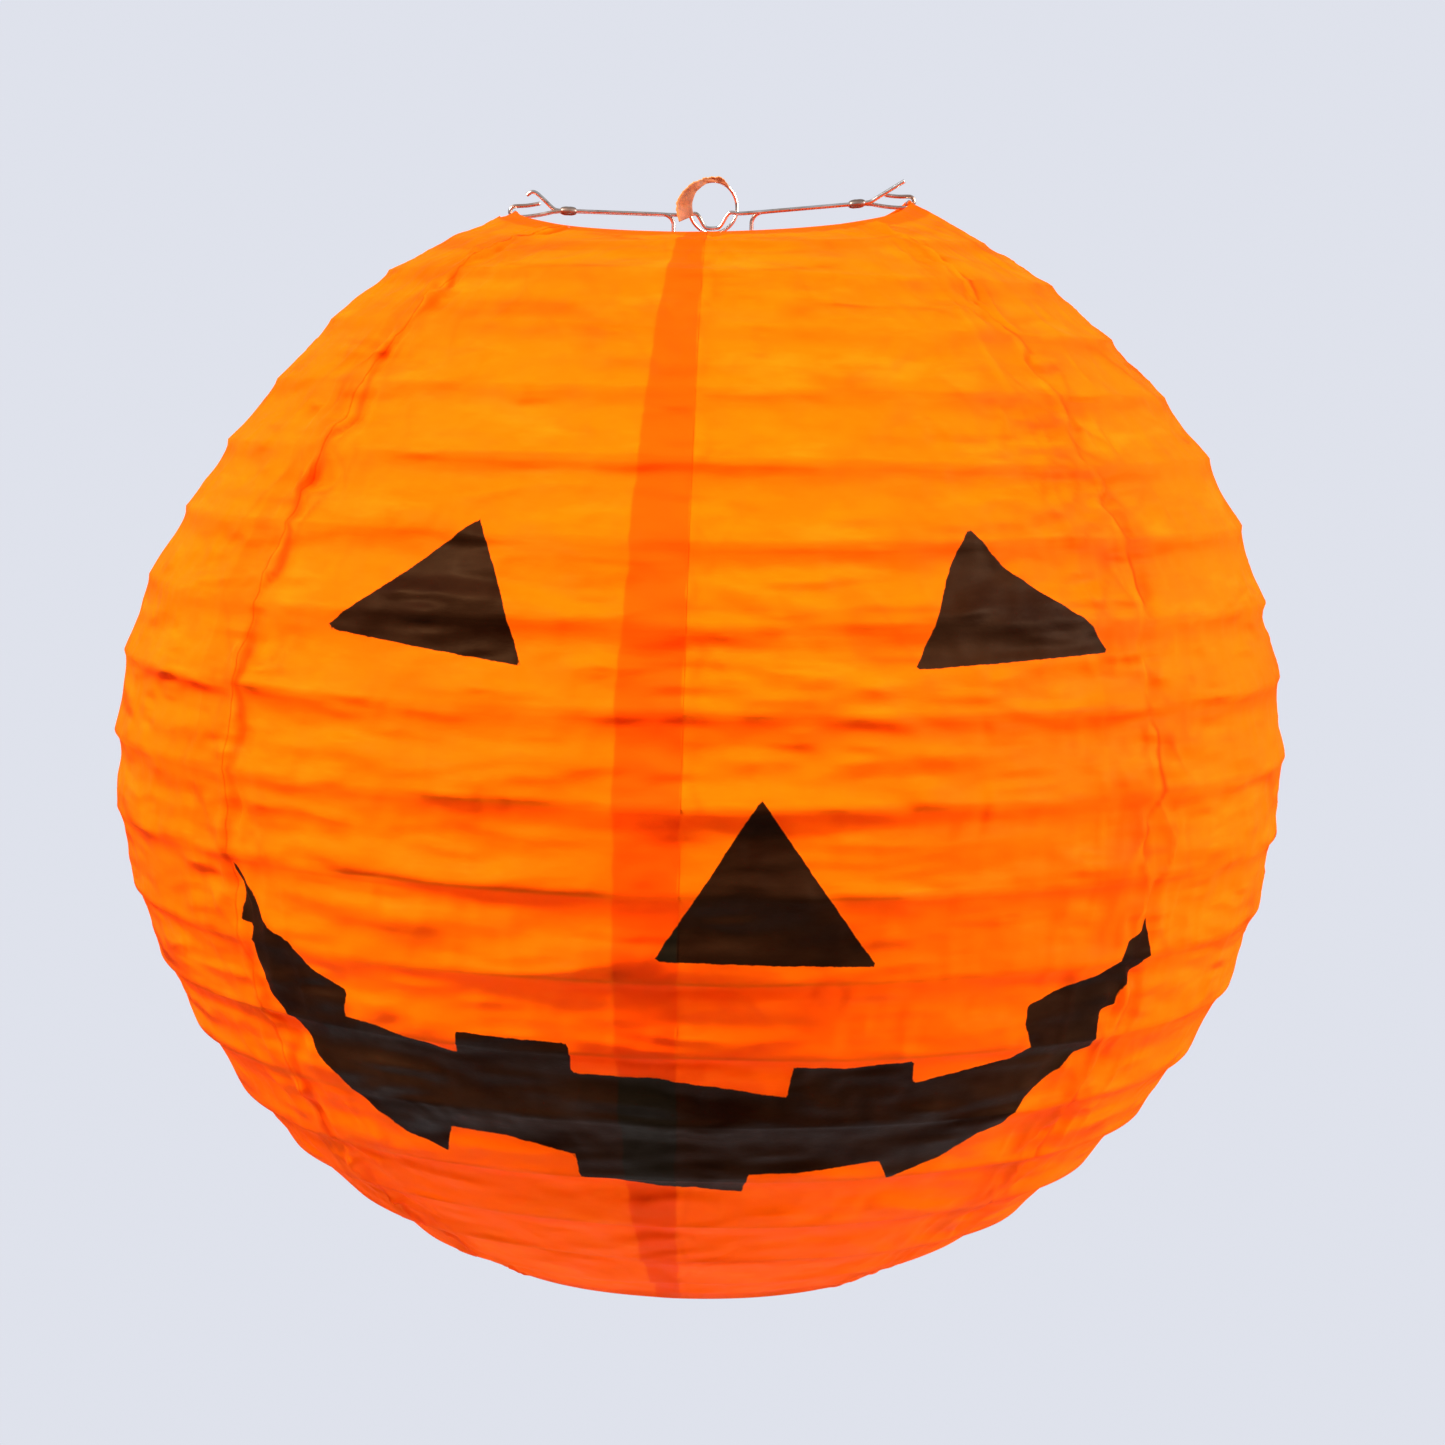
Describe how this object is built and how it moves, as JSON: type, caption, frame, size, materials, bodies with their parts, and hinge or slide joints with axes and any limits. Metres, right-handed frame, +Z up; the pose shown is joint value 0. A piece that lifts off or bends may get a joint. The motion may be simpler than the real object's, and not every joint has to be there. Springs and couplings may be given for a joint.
{
  "type": "accordion paper lantern",
  "caption": "Round orange paper lantern with a printed pumpkin face, glued from gores over wire hoops, stretched by a sprung wire expander and folding flat like an accordion.",
  "frame": {"origin": "top of the hanging ring's hole, where the hook or cord carries the lantern", "axes": "+Z up along the lantern's axis, -Y towards the printed face, +X to the right of someone who looks at the face"},
  "size_m": [0.303, 0.303, 0.2803],
  "materials": {
    "orange_paper": "matte translucent paper",
    "plated_wire": "bright plated spring wire",
    "ferrule_metal": "dull coppery metal",
    "brown_paper": "torn brown-orange paper"
  },
  "bodies": {
    "hanging_ring": {"hanging_ring": "plated_wire", "ring_scrap": "brown_paper"},
    "stretched_frame": {"hanger_wire": "plated_wire", "left_leg_wire": "plated_wire", "right_leg_wire": "plated_wire", "left_ferrule": "ferrule_metal", "right_ferrule": "ferrule_metal", "top_ring": "plated_wire", "paper_panel_1": "orange_paper", "paper_panel_2": "orange_paper", "paper_panel_3": "orange_paper", "paper_panel_4": "orange_paper", "paper_panel_5": "orange_paper", "paper_panel_6": "orange_paper", "paper_panel_7": "orange_paper", "paper_panel_8": "orange_paper"},
    "bottom_ring": {"bottom_ring": "plated_wire"},
    "rib_ring_01": {"rib_ring_01": "plated_wire"},
    "rib_ring_02": {"rib_ring_02": "plated_wire"},
    "rib_ring_03": {"rib_ring_03": "plated_wire"},
    "rib_ring_04": {"rib_ring_04": "plated_wire"},
    "rib_ring_05": {"rib_ring_05": "plated_wire"},
    "rib_ring_06": {"rib_ring_06": "plated_wire"},
    "rib_ring_07": {"rib_ring_07": "plated_wire"},
    "rib_ring_08": {"rib_ring_08": "plated_wire"},
    "rib_ring_09": {"rib_ring_09": "plated_wire"},
    "rib_ring_10": {"rib_ring_10": "plated_wire"},
    "rib_ring_11": {"rib_ring_11": "plated_wire"},
    "rib_ring_12": {"rib_ring_12": "plated_wire"},
    "rib_ring_13": {"rib_ring_13": "plated_wire"},
    "rib_ring_14": {"rib_ring_14": "plated_wire"},
    "rib_ring_15": {"rib_ring_15": "plated_wire"},
    "rib_ring_16": {"rib_ring_16": "plated_wire"},
    "rib_ring_17": {"rib_ring_17": "plated_wire"}
  },
  "joints": [
    {"name": "swing", "type": "hinge", "parent": "hanging_ring", "child": "stretched_frame", "pos_m": [0, 0, -0.0116], "axis": [0.9974, 0.0724, 0], "range_deg": [-15, 15]},
    {"name": "fold", "type": "slide", "parent": "stretched_frame", "child": "bottom_ring", "axis": [0, 0, 1], "range_m": [0, 0.236], "deforming": ["paper_panel_1", "paper_panel_2", "paper_panel_3", "paper_panel_4", "paper_panel_5", "paper_panel_6", "paper_panel_7", "paper_panel_8"]},
    {"name": "rib_01_slide", "type": "slide", "parent": "stretched_frame", "child": "rib_ring_01", "axis": [0, 0, 1], "range_m": [0, 0.00767]},
    {"name": "rib_02_slide", "type": "slide", "parent": "stretched_frame", "child": "rib_ring_02", "axis": [0, 0, 1], "range_m": [0, 0.01701]},
    {"name": "rib_03_slide", "type": "slide", "parent": "stretched_frame", "child": "rib_ring_03", "axis": [0, 0, 1], "range_m": [0, 0.02795]},
    {"name": "rib_04_slide", "type": "slide", "parent": "stretched_frame", "child": "rib_ring_04", "axis": [0, 0, 1], "range_m": [0, 0.04031]},
    {"name": "rib_05_slide", "type": "slide", "parent": "stretched_frame", "child": "rib_ring_05", "axis": [0, 0, 1], "range_m": [0, 0.05394]},
    {"name": "rib_06_slide", "type": "slide", "parent": "stretched_frame", "child": "rib_ring_06", "axis": [0, 0, 1], "range_m": [0, 0.0687]},
    {"name": "rib_07_slide", "type": "slide", "parent": "stretched_frame", "child": "rib_ring_07", "axis": [0, 0, 1], "range_m": [0, 0.08439]},
    {"name": "rib_08_slide", "type": "slide", "parent": "stretched_frame", "child": "rib_ring_08", "axis": [0, 0, 1], "range_m": [0, 0.10084]},
    {"name": "rib_09_slide", "type": "slide", "parent": "stretched_frame", "child": "rib_ring_09", "axis": [0, 0, 1], "range_m": [0, 0.11777]},
    {"name": "rib_10_slide", "type": "slide", "parent": "stretched_frame", "child": "rib_ring_10", "axis": [0, 0, 1], "range_m": [0, 0.13482]},
    {"name": "rib_11_slide", "type": "slide", "parent": "stretched_frame", "child": "rib_ring_11", "axis": [0, 0, 1], "range_m": [0, 0.15154]},
    {"name": "rib_12_slide", "type": "slide", "parent": "stretched_frame", "child": "rib_ring_12", "axis": [0, 0, 1], "range_m": [0, 0.1676]},
    {"name": "rib_13_slide", "type": "slide", "parent": "stretched_frame", "child": "rib_ring_13", "axis": [0, 0, 1], "range_m": [0, 0.1827]},
    {"name": "rib_14_slide", "type": "slide", "parent": "stretched_frame", "child": "rib_ring_14", "axis": [0, 0, 1], "range_m": [0, 0.19659]},
    {"name": "rib_15_slide", "type": "slide", "parent": "stretched_frame", "child": "rib_ring_15", "axis": [0, 0, 1], "range_m": [0, 0.20904]},
    {"name": "rib_16_slide", "type": "slide", "parent": "stretched_frame", "child": "rib_ring_16", "axis": [0, 0, 1], "range_m": [0, 0.21988]},
    {"name": "rib_17_slide", "type": "slide", "parent": "stretched_frame", "child": "rib_ring_17", "axis": [0, 0, 1], "range_m": [0, 0.22894]}
  ],
  "couplings": [
    {"joint": "rib_01_slide", "follows": "fold", "ratio": 0.03209},
    {"joint": "rib_02_slide", "follows": "fold", "ratio": 0.071675},
    {"joint": "rib_03_slide", "follows": "fold", "ratio": 0.118},
    {"joint": "rib_04_slide", "follows": "fold", "ratio": 0.17038},
    {"joint": "rib_05_slide", "follows": "fold", "ratio": 0.22816},
    {"joint": "rib_06_slide", "follows": "fold", "ratio": 0.29066},
    {"joint": "rib_07_slide", "follows": "fold", "ratio": 0.35718},
    {"joint": "rib_08_slide", "follows": "fold", "ratio": 0.42685},
    {"joint": "rib_09_slide", "follows": "fold", "ratio": 0.49862},
    {"joint": "rib_10_slide", "follows": "fold", "ratio": 0.57083},
    {"joint": "rib_11_slide", "follows": "fold", "ratio": 0.64169},
    {"joint": "rib_12_slide", "follows": "fold", "ratio": 0.70974},
    {"joint": "rib_13_slide", "follows": "fold", "ratio": 0.77374},
    {"joint": "rib_14_slide", "follows": "fold", "ratio": 0.83259},
    {"joint": "rib_15_slide", "follows": "fold", "ratio": 0.88535},
    {"joint": "rib_16_slide", "follows": "fold", "ratio": 0.93126},
    {"joint": "rib_17_slide", "follows": "fold", "ratio": 0.96965}
  ]
}
